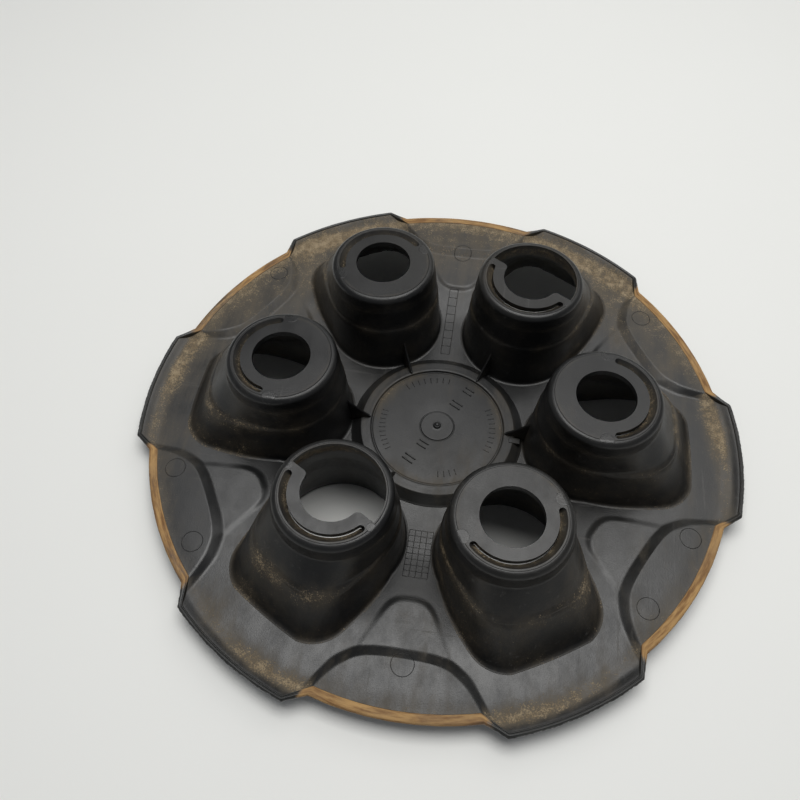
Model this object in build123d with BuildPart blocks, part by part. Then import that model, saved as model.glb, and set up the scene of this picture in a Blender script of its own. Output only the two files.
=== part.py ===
from build123d import *
import os
from math import sin, cos, radians

os.makedirs("parts", exist_ok=True)

# Six-stud wheel cover, lying on its road face: +Z points to the wheel, z = 0 is the plane the
# road face rests on, and the Z axis is the wheel axis.  Millimetres.
stud_circle_r = 85.0            # six studs on a 170 mm circle
seat_h = 58.0                   # plane of the socket ends, the plane that meets the wheel
wall = 3.0                      # general moulding thickness
floor_t = 2.6                   # thickness of the dish

# centre disc
disc_face_r = 38.2
disc_step_r = 44.2
disc_foot_r = 49.6
disc_face_h = 6.1
disc_step_h = 7.1
dish_h = 2.6                    # dish surface beside the disc
gate_r = 9.4
gate_h = 0.5
nub_r = 1.9
nub_h = 2.2

# rim: six lobes in line with the sockets, six valleys between them
lobe_r = 169.8
valley_r = 162.1
lobe_half = 12.0                # degrees, where the lobe's arc ends
valley_start = 15.2             # degrees, where the valley's arc begins
lip_lobe_r = 166.9
lip_valley_r = 157.0
lip_h = 13.8
lip_t = 2.6

# sockets
ring_r = 29.8                   # rounded ring at the wheel end
ring_round = 3.6
plate_r = 25.5                  # end plate inside the ring
plate_t = 3.2
nut_hole_r = 15.5
slot_in_r = 21.7
slot_half = 75.0                # degrees either side of the outward direction
neck_h = 48.0                   # above this the socket is a plain drafted ring
neck_r = 30.7
neck_step = 0.06                # the round part starts this much inside the part below it
ledge_h = 34.0                  # step line half way up the wall
ledge_r = 32.0
ledge = 0.5                     # width of the step
foot_r = 35.2                   # wall radius carried down to z = -1

gusset_t = 1.4
gusset_top_h = 24.0
gusset_tip_h = 8.4

# socket numbers run clockwise, seen from the wheel
socket_angle = {1: 120, 2: 60, 3: 0, 4: -60, 5: -120, 6: 180}
half_plates = (2, 5)            # these two carry a spring clip instead of a full end ring
clip_dir = 240                  # both clips sit on this side of their socket
valley_angle = {"1_2": 90, "2_3": 30, "3_4": -30, "4_5": -90, "5_6": -150, "6_1": 150}

# dish height against radius: plateau with lobes, and the raised valley floors
plateau = [(disc_foot_r, dish_h), (80, 4.0), (102, 7.8), (128, 10.7), (141, 10.7), (159, 10.2),
           (163.5, 11.3), (lip_lobe_r, 13.0)]
valley = [(124, 14.3), (135, 14.0), (150, 13.4), (lip_valley_r, 12.9)]
shelf = [(98, 9.0), (104, 9.3), (127, 10.7)]


def under(profile, drop, inner, outer, low=-6.0):
    """Half section of everything below a height profile lowered by drop."""
    pts = inner + [(r, h - drop) for r, h in profile] + [(outer, profile[-1][1] - drop)]
    return [(pts[0][0], low)] + pts + [(outer, low)]


def pol(r, a):
    return (r * cos(radians(a)), r * sin(radians(a)))


def rim_outline(big, small, a_big, a_small):
    """Closed outline of lobes and valleys."""
    edges = []
    for a in range(0, 360, 60):
        edges.append(ThreePointArc(pol(big, a - a_big), pol(big, a), pol(big, a + a_big)))
        edges.append(Line(pol(big, a + a_big), pol(small, a + a_small)))
        edges.append(ThreePointArc(pol(small, a + a_small), pol(small, a + 30), pol(small, a + 60 - a_small)))
        edges.append(Line(pol(small, a + 60 - a_small), pol(big, a + 60 - a_big)))
    return edges


# ---------------------------------------------------------------- cutting and forming solids

disc_top = [(0, disc_face_h), (disc_face_r - 0.4, disc_face_h), (disc_face_r, disc_step_h),
            (disc_step_r, disc_step_h)]
disc_low = [(0, disc_face_h - floor_t), (disc_step_r - 2.4, disc_face_h - floor_t)]

with BuildPart() as plateau_top:
    with BuildSketch(Plane.XZ):
        with BuildLine():
            Polyline(under(plateau, 0, disc_top, 176), close=True)
        make_face()
    revolve(axis=Axis.Z)

with BuildPart() as plateau_low:
    with BuildSketch(Plane.XZ):
        with BuildLine():
            Polyline(under(plateau, floor_t, disc_low, 182, -8.0), close=True)
        make_face()
    revolve(axis=Axis.Z)


def arch(tip_x, inset, height):
    """Outline of a valley floor on the +X side, with its straight legs running out past the rim."""
    i = inset
    with BuildSketch(Plane.XY.offset(height)) as sk:
        with BuildLine():
            Polyline((tip_x + i, -14 + 0.2 * i), (tip_x + i, 14 - 0.2 * i), (tip_x + 4.5 + i, 29.5 - 0.75 * i),
                     (tip_x + 52, 64.5 - 1.25 * i), (tip_x + 52, -64.5 + 1.25 * i),
                     (tip_x + 4.5 + i, -29.5 + 0.75 * i), close=True)
        make_face()
        corners = sk.vertices().filter_by(lambda v: v.X < tip_x + 20)
        fillet([v for v in corners if abs(v.Y) > 16], 11 - 0.5 * i)
        fillet([v for v in sk.vertices() if v.X < tip_x + i + 1 and abs(v.Y) > 8 and abs(v.Y) < 15], 16)
    return sk.sketch


def small_arch(inset, height):
    """Outline of the shallow shelf between two sockets."""
    i = inset
    with BuildSketch(Plane.XY.offset(height)) as sk:
        with BuildLine():
            Polyline((101 + i, -6), (101 + i, 6), (106 + i, 12.5 - 0.8 * i), (131, 27.5 - 1.1 * i),
                     (131, -27.5 + 1.1 * i), (106 + i, -12.5 + 0.8 * i), close=True)
        make_face()
        fillet([v for v in sk.vertices() if v.X < 115], 6)
    return sk.sketch


def raised(profile, outline_low, outline_high, drop, outer):
    """Solid under a raised floor, inside its sloping sides."""
    with BuildPart() as block:
        add(outline_low)
        add(outline_high)
        loft(ruled=True)
        with BuildSketch(Plane.XZ) as sec:
            with BuildLine():
                Polyline(under(profile, drop, [(profile[0][0] - 4, profile[0][1] - drop)], outer), close=True)
            make_face()
        revolve(sec.sketch, axis=Axis.Z, mode=Mode.INTERSECT)
    return block.part


valley_up = raised(valley, arch(128, 0, 9.4), arch(128, 7.2, 15.0), 0, 173)
valley_dn = raised(valley, arch(128, 0.6, 9.2 - floor_t), arch(128, 7.8, 14.9 - floor_t), floor_t, 175)
shelf_up = raised(shelf, small_arch(0, 7.4), small_arch(3.2, 10.8), 0, 128.5)


def socket_section(h, points, grow):
    """Socket outline with its ramp on the +X side: round towards the axis, a blunt tongue outwards."""
    r, flank, side, corner, edge, tip = points
    c = stud_circle_r
    lean = [(0, 1), (0.35, 0.94), (0.8, 0.6), (1, 0.2), (1, 0)]
    q, a, m, e, n = [(c + x + grow * u, y + grow * v) for (x, y), (u, v) in
                     zip((flank, side, corner, edge, tip), lean)]
    r = r + grow

    def flip(p):
        return (p[0], -p[1])

    with BuildSketch(Plane.XY.offset(h)) as sk:
        with BuildLine():
            ThreePointArc((c, r), (c - r, 0), (c, -r))
            ThreePointArc((c, -r), flip(q), flip(a))
            ThreePointArc(flip(a), flip(m), flip(e))
            ThreePointArc(flip(e), n, e)
            ThreePointArc(e, m, a)
            ThreePointArc(a, q, (c, r))
        make_face()
    return sk.sketch


def round_points(r):
    """A circle given by the same six points as the tongue outline."""
    return [r] + [(r * cos(radians(t)), r * sin(radians(t))) for t in (68, 47, 33, 18, 0)]


# flank, side, corner, edge and tip of the tongue, measured from the stud axis
step_points = [ledge_r, (14.0, 31.0), (27.0, 28.3), (35.8, 22.4), (40.6, 13.0), (41.5, 0.0)]
low_points = [ledge_r + ledge, (14.0, 31.8), (27.4, 29.0), (36.5, 22.8), (41.3, 13.2), (42.2, 0.0)]
foot_points = [foot_r, (20.0, 38.2), (44.0, 37.0), (55.6, 32.4), (61.0, 24.5), (61.8, 0.0)]


def socket_body(grow, top_h, top_r, round_over):
    with BuildPart() as body:
        add(socket_section(-1.0, foot_points, grow))
        add(socket_section(ledge_h, low_points, grow))
        loft(ruled=True)
        add(socket_section(ledge_h, step_points, grow))
        add(socket_section(neck_h, round_points(neck_r), grow))
        loft(ruled=True)
    with BuildPart() as ring:
        with BuildSketch(Plane.XZ):
            with BuildLine():
                Polyline((0, neck_h), (neck_r + grow - neck_step, neck_h), (top_r, top_h), (0, top_h), close=True)
            make_face()
        revolve(axis=Axis.Z)
        if round_over:
            fillet(ring.edges().filter_by(GeomType.CIRCLE).sort_by(Axis.Z)[-1], round_over)
    with BuildPart() as whole:
        add(body.part)
        add(ring.part.moved(Location((stud_circle_r, 0, 0))))
    return whole.part


socket_out = socket_body(0, seat_h, ring_r, ring_round)
socket_in = socket_body(-wall, seat_h - plate_t, plate_r + 1.4, 0)


def prism(edges, low, high):
    with BuildPart() as block:
        with BuildSketch(Plane.XY.offset(low)):
            with BuildLine():
                for e in edges:
                    add(e)
            make_face()
        extrude(amount=high - low)
    return block.part


rim_block = prism(rim_outline(lobe_r, valley_r, lobe_half, valley_start), -6, 40)
lip_block = prism(rim_outline(lip_lobe_r, lip_valley_r, lobe_half - 0.2, valley_start + 0.5), -6, 40)

valleys_dn = [valley_dn.rotate(Axis.Z, a) for a in valley_angle.values()]

valley_panels = {}
for a in valley_angle.values():
    with BuildPart() as panel:
        add(valley_up.rotate(Axis.Z, a))
        add(lip_block, mode=Mode.INTERSECT)
    valley_panels[a] = panel.part

with BuildPart() as dish:
    add(plateau_top.part)
    add(lip_block, mode=Mode.INTERSECT)
    add(plateau_low.part, mode=Mode.SUBTRACT)
    for a, panel in valley_panels.items():
        add(panel)
        add(shelf_up.rotate(Axis.Z, a))
    for low in valleys_dn:
        add(low, mode=Mode.SUBTRACT)
    for a in socket_angle.values():
        add(socket_out.rotate(Axis.Z, a), mode=Mode.SUBTRACT)
print("dish", dish.part.volume, len(dish.part.solids()), dish.part.is_valid)

arch_block = extrude(arch(128, 0, -6), amount=46)
made = []


def keep(part, label):
    """Write one piece to its own file."""
    solids = sorted(part.solids(), key=lambda s: -s.volume)
    body = solids[0] if len(solids) == 1 else part
    body.label = label
    export_step(body, f"parts/{label}.step")
    made.append((label, round(body.volume / 1000, 3), len(solids)))
    return body


# ---------------------------------------------------------------- rim

with BuildPart() as rim_lip:
    add(prism(rim_outline(lobe_r, valley_r, lobe_half, valley_start), lip_h - lip_t, lip_h))
    add(lip_block, mode=Mode.SUBTRACT)
    chamfer(rim_lip.edges().filter_by(lambda e: e.center().Z > lip_h - 0.01), 0.45)
keep(rim_lip.part, "rim_lip")

# ---------------------------------------------------------------- centre disc

with BuildPart() as centre_disc:
    add(dish.part)
    Cylinder(disc_foot_r, 60, mode=Mode.INTERSECT)
    with Locations((0, 0, disc_face_h)):
        Cylinder(gate_r, gate_h, align=(Align.CENTER, Align.CENTER, Align.MIN))
    with Locations((0, 0, disc_face_h + gate_h)):
        Cone(nub_r, 1.0, nub_h, align=(Align.CENTER, Align.CENTER, Align.MIN))
keep(centre_disc.part, "centre_disc")

# ---------------------------------------------------------------- valley and lobe floors, web

valley_blocks = {k: arch_block.rotate(Axis.Z, a) for k, a in valley_angle.items()}
lobe_blocks = {}
with BuildPart() as lobe_cut:
    with Locations((155, 0, 15)):
        Box(60, 84, 50)
for k, a in socket_angle.items():
    lobe_blocks[k] = lobe_cut.part.rotate(Axis.Z, a)

for k, block in valley_blocks.items():
    with BuildPart() as valley_floor:
        add(dish.part)
        add(block, mode=Mode.INTERSECT)
    keep(valley_floor.part, f"valley_floor_{k}")

with BuildPart() as no_valleys:
    add(dish.part)
    Cylinder(disc_foot_r, 60, mode=Mode.SUBTRACT)
    for block in valley_blocks.values():
        add(block, mode=Mode.SUBTRACT)

for k, block in lobe_blocks.items():
    with BuildPart() as lobe_floor:
        add(no_valleys.part)
        add(block, mode=Mode.INTERSECT)
    keep(lobe_floor.part, f"lobe_floor_{k}")

with BuildPart() as dish_web:
    add(no_valleys.part)
    for block in lobe_blocks.values():
        add(block, mode=Mode.SUBTRACT)
keep(dish_web.part, "dish_web")

# ---------------------------------------------------------------- sockets, end plates and gussets

with BuildPart() as nut_socket:
    add(socket_out)
    add(socket_in, mode=Mode.SUBTRACT)
    with Locations((stud_circle_r, 0, seat_h - plate_t - 1)):
        Cylinder(plate_r, plate_t + 2, align=(Align.CENTER, Align.CENTER, Align.MIN), mode=Mode.SUBTRACT)
    add(plateau_low.part, mode=Mode.SUBTRACT)

for k, a in socket_angle.items():
    keep(nut_socket.part.rotate(Axis.Z, a), f"nut_socket_{k}")

    centre = pol(stud_circle_r, a)
    half = k in half_plates
    facing = clip_dir if half else a
    with BuildPart() as plate:
        with BuildSketch(Plane.XY.offset(seat_h - plate_t)):
            Circle(plate_r)
            Circle(nut_hole_r, mode=Mode.SUBTRACT)
            if half:
                with Locations((-plate_r, 0)):
                    Rectangle(2 * plate_r, 4 * plate_r, mode=Mode.SUBTRACT)
            mid_r = (slot_in_r + plate_r + 0.2) / 2
            SlotArc(ThreePointArc(pol(mid_r, -slot_half), (mid_r, 0), pol(mid_r, slot_half), mode=Mode.PRIVATE),
                    plate_r + 0.2 - slot_in_r, mode=Mode.SUBTRACT)
        extrude(amount=plate_t)
        if half:
            hooks = plate.edges().filter_by(Axis.Z).filter_by(lambda e: abs(e.center().X) < 0.01
                                                              and abs(e.center().Y) < nut_hole_r + 0.5)
            fillet(hooks, 2.2)
    placed = plate.part.rotate(Axis.Z, facing).moved(Location((centre[0], centre[1], 0)))
    keep(placed, f"nut_clip_{k}" if half else f"end_ring_{k}")

    with BuildPart() as gusset:
        with BuildSketch(Plane.XZ):
            with BuildLine():
                Polyline((disc_face_r + 0.2, -4), (disc_face_r + 0.2, gusset_tip_h), (52.3, gusset_top_h),
                         (60, gusset_top_h), (60, -4), close=True)
            make_face()
        extrude(amount=gusset_t / 2, both=True)
        add(plateau_top.part, mode=Mode.SUBTRACT)
        add(socket_out, mode=Mode.SUBTRACT)
    keep(gusset.part.rotate(Axis.Z, a), f"gusset_{k}")

for row in made:
    print(*row)
print(len(made), "pieces")
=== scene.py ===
"""Six-stud wheel cover lying on its road face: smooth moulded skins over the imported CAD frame."""

import math

import bpy
import numpy as np
from mathutils import Matrix, Vector


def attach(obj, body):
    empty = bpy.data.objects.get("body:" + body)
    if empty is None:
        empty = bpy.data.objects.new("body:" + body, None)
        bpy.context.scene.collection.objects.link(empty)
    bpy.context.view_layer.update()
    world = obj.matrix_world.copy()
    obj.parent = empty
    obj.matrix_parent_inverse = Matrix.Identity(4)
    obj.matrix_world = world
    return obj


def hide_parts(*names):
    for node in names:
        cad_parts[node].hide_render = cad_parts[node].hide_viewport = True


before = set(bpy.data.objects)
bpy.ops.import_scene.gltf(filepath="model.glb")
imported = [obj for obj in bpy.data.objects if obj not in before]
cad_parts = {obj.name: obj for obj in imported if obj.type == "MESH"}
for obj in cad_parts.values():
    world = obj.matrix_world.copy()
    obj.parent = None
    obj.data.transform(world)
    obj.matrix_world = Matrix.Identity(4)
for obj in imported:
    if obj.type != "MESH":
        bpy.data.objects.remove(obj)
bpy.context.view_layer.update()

MM = 0.001
TAU = 2 * math.pi

# ------------------------------------------------------------------ sizes, in millimetres
STUD_R = 85.0                    # stud circle
SEAT = 57.94                     # plane of the socket ends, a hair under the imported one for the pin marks
WALL = 3.0
FLOOR_T = 2.6
PLATE_T = 3.2

FACE_R, FACE_H = 38.2, 6.1       # recessed face of the centre disc
STEP_R, STEP_H = 44.2, 7.1       # the ring round it
FOOT_R, FOOT_H = 49.6, 2.6       # foot of the disc's sloped wall

LOBE_R, VALLEY_R = 169.7, 162.0
LIP_LOBE_R, LIP_VALLEY_R = 166.9, 157.0
LOBE_HALF, VALLEY_START = 12.0, 15.3       # degrees from the middle of a lobe

SOCKET_ANGLE = {1: 120, 2: 60, 3: 0, 4: -60, 5: -120, 6: 180}
VALLEY_ANGLE = {"1_2": 90, "2_3": 30, "3_4": -30, "4_5": -90, "5_6": -150, "6_1": 150}
CLIP_SOCKETS = (2, 5)
CLIP_DIR = 240                   # both half plates sit on this side of their socket

# height of the dish against radius, and of the two raised shapes in each valley
PLATEAU = [(49.6, 2.6), (62, 2.9), (80, 4.0), (102, 7.8), (120, 10.2), (141, 10.7), (158, 10.3), (163, 11.0),
           (166.9, 13.2)]
VALLEY = [(124, 14.3), (135, 14.0), (150, 13.4), (157, 12.9)]
SHELF = [(98, 9.1), (104, 9.5), (127, 10.8)]

# plan of the raised valley floor, in the valley's own direction: along it and half its width
RISER_FOOT = [(128, 0), (128.2, 13), (130, 23), (133, 28.5), (137, 33.8), (143.5, 38.6), (152.5, 45),
              (168, 56)]
RISER_TOP = [(134, 0), (134.6, 14), (136.3, 21.6), (139.4, 27), (143.3, 32), (149, 37), (156, 42), (170, 52)]
SHELF_FOOT = [(101.5, 0), (102.2, 6), (105, 10.8), (110, 14.4), (118, 18.2), (134, 26)]

COLUMNS = 1020                   # polar grid of the floor


# ------------------------------------------------------------------ small numeric helpers
def smooth_profile(points, window, step=0.2):
    """A height table along the radius, with its corners rounded over a window that may change with radius."""
    r = np.arange(points[0][0] - 12, points[-1][0] + 12, step)
    xs, ys = zip(*points)
    h = np.interp(r, xs, ys)
    out = h.copy()
    for i, radius in enumerate(r):
        n = max(1, int(window(radius) / step / 2))
        lo, hi = max(0, i - n), min(len(r), i + n + 1)
        out[i] = h[lo:hi].mean()
    return r, out


def spline(points, per_span=8):
    """Catmull-Rom points through a half outline that is mirrored at its first point."""
    p = [Vector((points[1][0], -points[1][1]))] + [Vector(q) for q in points]
    p.append(p[-1] * 2 - p[-2])
    out = []
    for a, b, c, d in zip(p, p[1:], p[2:], p[3:]):
        for i in range(per_span):
            t = i / per_span
            out.append(0.5 * ((2 * b) + (c - a) * t + (2 * a - 5 * b + 4 * c - d) * t * t
                              + (3 * b - a - 3 * c + d) * t ** 3))
    out.append(p[-2])
    return np.array([tuple(q) for q in out])


def signed_distance(u, v, line):
    """Distance from points to an open line, positive on the side away from the axis."""
    a, b = line[:-1], line[1:]
    ab = b - a
    length2 = (ab ** 2).sum(1)
    best = np.full(u.shape, 1e9)
    sign = np.ones(u.shape)
    for (ax, ay), (dx, dy), l2 in zip(a, ab, length2):
        t = np.clip(((u - ax) * dx + (v - ay) * dy) / l2, 0, 1)
        ex, ey = u - ax - t * dx, v - ay - t * dy
        d = ex * ex + ey * ey
        near = d < best
        best = np.where(near, d, best)
        sign = np.where(near, np.sign(ex * dy - ey * dx), sign)
    return np.sqrt(best) * sign


plateau_table = smooth_profile(PLATEAU, lambda r: 9.0 if r < 152 else 2.2)
valley_table = smooth_profile(VALLEY, lambda r: 5.0)
shelf_table = smooth_profile(SHELF, lambda r: 4.0)
riser_foot, riser_top, shelf_foot = spline(RISER_FOOT), spline(RISER_TOP), spline(SHELF_FOOT)


def valley_frame(x, y):
    """Coordinates along and across the nearest valley, across made positive."""
    r, a = np.hypot(x, y), np.degrees(np.arctan2(y, x))
    off = a % 60 - 30
    return r * np.cos(np.radians(off)), np.abs(r * np.sin(np.radians(off)))


def ramp(w, foot):
    """0 to 1, with a hollow blend at the bottom over the share foot and a crisp top."""
    w = np.clip(w, 0, 1)
    s = np.where(w < foot, w * w / (2 * foot), w - foot / 2) / (1 - foot / 2)
    crest = 0.06                 # share of the rise over which the top edge is rounded
    over = s - 1 + crest
    return np.where(over > 0, s - over ** 2 / (2 * crest), s) / (1 - crest / 2)


def height(x, y):
    """Height of the wheel-side surface of the floor."""
    r = np.hypot(x, y)
    h = np.interp(r, *plateau_table)
    far = r > 96
    if far.any():
        u, v = valley_frame(x[far], y[far])
        rf, hf = r[far], h[far]
        d = signed_distance(u, v, shelf_foot)
        rise = ramp(d / 3.0, 0.3) * np.clip((np.interp(rf, *shelf_table) - hf), 0, None)
        hf = hf + rise * np.clip((29 - v) / 8, 0, 1)
        da = signed_distance(u, v, riser_foot)
        db = signed_distance(u, v, riser_top)
        w = np.where(da <= 0, 0, np.where(db >= 0, 1, da / np.maximum(da - db, 1e-6)))
        hf = hf + ramp(w, 0.25) * (np.interp(rf, *valley_table) - hf)
        h = h.copy()
        h[far] = hf
    return h


def rim_radius(phi, big, small, a_big, a_small):
    """Radius of the lobed outline at phi degrees, with straight slanting steps between its arcs."""
    off = np.abs((phi + 30) % 60 - 30)
    ax, ay = big * math.cos(math.radians(a_big)), big * math.sin(math.radians(a_big))
    bx, by = small * math.cos(math.radians(a_small)), small * math.sin(math.radians(a_small))
    t = np.radians(off)
    nx, ny = by - ay, ax - bx
    with np.errstate(divide="ignore", invalid="ignore"):
        slant = (ax * nx + ay * ny) / (np.cos(t) * nx + np.sin(t) * ny)
    return np.where(off <= a_big, big, np.where(off >= a_small, small, slant))


def lip_inner(phi):
    return rim_radius(phi, LIP_LOBE_R, LIP_VALLEY_R, LOBE_HALF - 0.3, VALLEY_START + 0.3)


def lip_outer(phi):
    return rim_radius(phi, LOBE_R, VALLEY_R, LOBE_HALF, VALLEY_START)


# ------------------------------------------------------------------ meshes
def to_object(name, verts, faces, material, node=None, normals=None, marks=None):
    """One piece from millimetre vertices. normals are per vertex, marks a dict of per-vertex shares."""
    mesh = bpy.data.meshes.new(name)
    verts = np.asarray(verts, float) * MM
    mesh.from_pydata(verts.tolist(), [], [list(map(int, f)) for f in faces])
    mesh.validate()
    mesh.polygons.foreach_set("use_smooth", [True] * len(mesh.polygons))
    for key, values in (marks or {}).items():
        layer = mesh.attributes.new(key, "FLOAT", "POINT")
        layer.data.foreach_set("value", np.asarray(values, np.float32))
    obj = bpy.data.objects.new(name, mesh)
    bpy.context.scene.collection.objects.link(obj)
    obj.data.materials.append(material)
    if normals is not None:
        mesh.normals_split_custom_set_from_vertices(np.asarray(normals, float).tolist())
    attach(obj, "root")
    if node:
        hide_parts(node)
    return obj


def vertex_normals(verts, quads):
    """Area-weighted normals of a mesh of quads."""
    a, b, c, d = (verts[quads[:, k]] for k in range(4))
    cross = np.cross(c - a, d - b)
    n = np.zeros_like(verts)
    for k in range(4):
        np.add.at(n, quads[:, k], cross)
    return n / np.maximum(np.linalg.norm(n, axis=1, keepdims=True), 1e-12)


def grid_faces(rows, cols, closed=True, start=0):
    """Quads of a grid stored row by row, its columns joined up when closed."""
    i, j = np.meshgrid(np.arange(rows - 1), np.arange(cols if closed else cols - 1), indexing="ij")
    k = (j + 1) % cols
    low, high = i * cols, (i + 1) * cols
    return (start + np.stack([low + j, low + k, high + k, high + j], -1)).reshape(-1, 4)


def noise1(n, waves, seed):
    """Smooth periodic noise round a loop of n samples, between -1 and 1."""
    rng = np.random.default_rng(seed)
    t = np.linspace(0, TAU, n, endpoint=False)
    out = np.zeros(n)
    for k in waves:
        out += np.sin(k * t + rng.uniform(0, TAU)) * rng.uniform(0.4, 1.0) / len(waves) ** 0.5
    return np.clip(out, -1, 1)


# ------------------------------------------------------------------ materials
def new_material(name):
    mat = bpy.data.materials.new(name)
    mat.use_nodes = True
    nt = mat.node_tree
    nt.nodes.clear()
    out = nt.nodes.new("ShaderNodeOutputMaterial")
    shader = nt.nodes.new("ShaderNodeBsdfPrincipled")
    nt.links.new(shader.outputs[0], out.inputs[0])
    return mat, nt, shader


class Graph:
    """Short names for the shader nodes the plastic needs."""

    def __init__(self, nt):
        self.nt = nt
        self.place = nt.nodes.new("ShaderNodeTexCoord").outputs["Object"]

    def link(self, value, socket):
        if isinstance(value, (int, float)):
            socket.default_value = value
        elif isinstance(value, tuple):
            socket.default_value = (*value, 1) if len(value) == 3 else value
        else:
            self.nt.links.new(value, socket)

    def along(self, run, side, squeeze):
        """Coordinates that follow a strip: along it, and across it squeezed to give long streaks."""
        n = self.nt.nodes.new("ShaderNodeCombineXYZ")
        self.link(self.attribute(run), n.inputs[0])
        self.link(self.math("MULTIPLY", self.attribute(side), squeeze), n.inputs[1])
        return n.outputs[0]

    def noise(self, scale, detail=4, rough=0.55, stretch=None, place=None):
        """Noise over place, or else the object's own space. stretch scales X, Y and Z, then turns about Z."""
        n = self.nt.nodes.new("ShaderNodeTexNoise")
        n.inputs["Scale"].default_value = scale
        n.inputs["Detail"].default_value = detail
        n.inputs["Roughness"].default_value = rough
        place = place or self.place
        if stretch:
            m = self.nt.nodes.new("ShaderNodeMapping")
            m.inputs["Scale"].default_value = stretch[:3]
            if len(stretch) > 3:
                m.inputs["Rotation"].default_value = (0, 0, stretch[3])
            self.nt.links.new(place, m.inputs[0])
            place = m.outputs[0]
        self.nt.links.new(place, n.inputs["Vector"])
        return n.outputs["Fac"]

    def math(self, op, a, b=0.0, clamp=False):
        n = self.nt.nodes.new("ShaderNodeMath")
        n.operation, n.use_clamp = op, clamp
        self.link(a, n.inputs[0])
        self.link(b, n.inputs[1])
        return n.outputs[0]

    def span(self, value, low, high, to_low=0.0, to_high=1.0):
        n = self.nt.nodes.new("ShaderNodeMapRange")
        n.interpolation_type = "SMOOTHSTEP"
        for socket, v in zip(n.inputs[:5], (value, low, high, to_low, to_high)):
            self.link(v, socket)
        return n.outputs[0]

    def mix(self, share, a, b):
        n = self.nt.nodes.new("ShaderNodeMix")
        n.data_type = "RGBA"
        self.link(share, n.inputs[0])
        self.link(a, n.inputs[6])
        self.link(b, n.inputs[7])
        return n.outputs[2]

    def attribute(self, name):
        n = self.nt.nodes.new("ShaderNodeAttribute")
        n.attribute_name = name
        return n.outputs["Fac"]

    def bump(self, height_value, strength, distance, normal=None):
        n = self.nt.nodes.new("ShaderNodeBump")
        n.inputs["Strength"].default_value = strength
        n.inputs["Distance"].default_value = distance
        self.link(height_value, n.inputs["Height"])
        if normal is not None:
            self.nt.links.new(normal, n.inputs["Normal"])
        return n.outputs[0]


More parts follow.
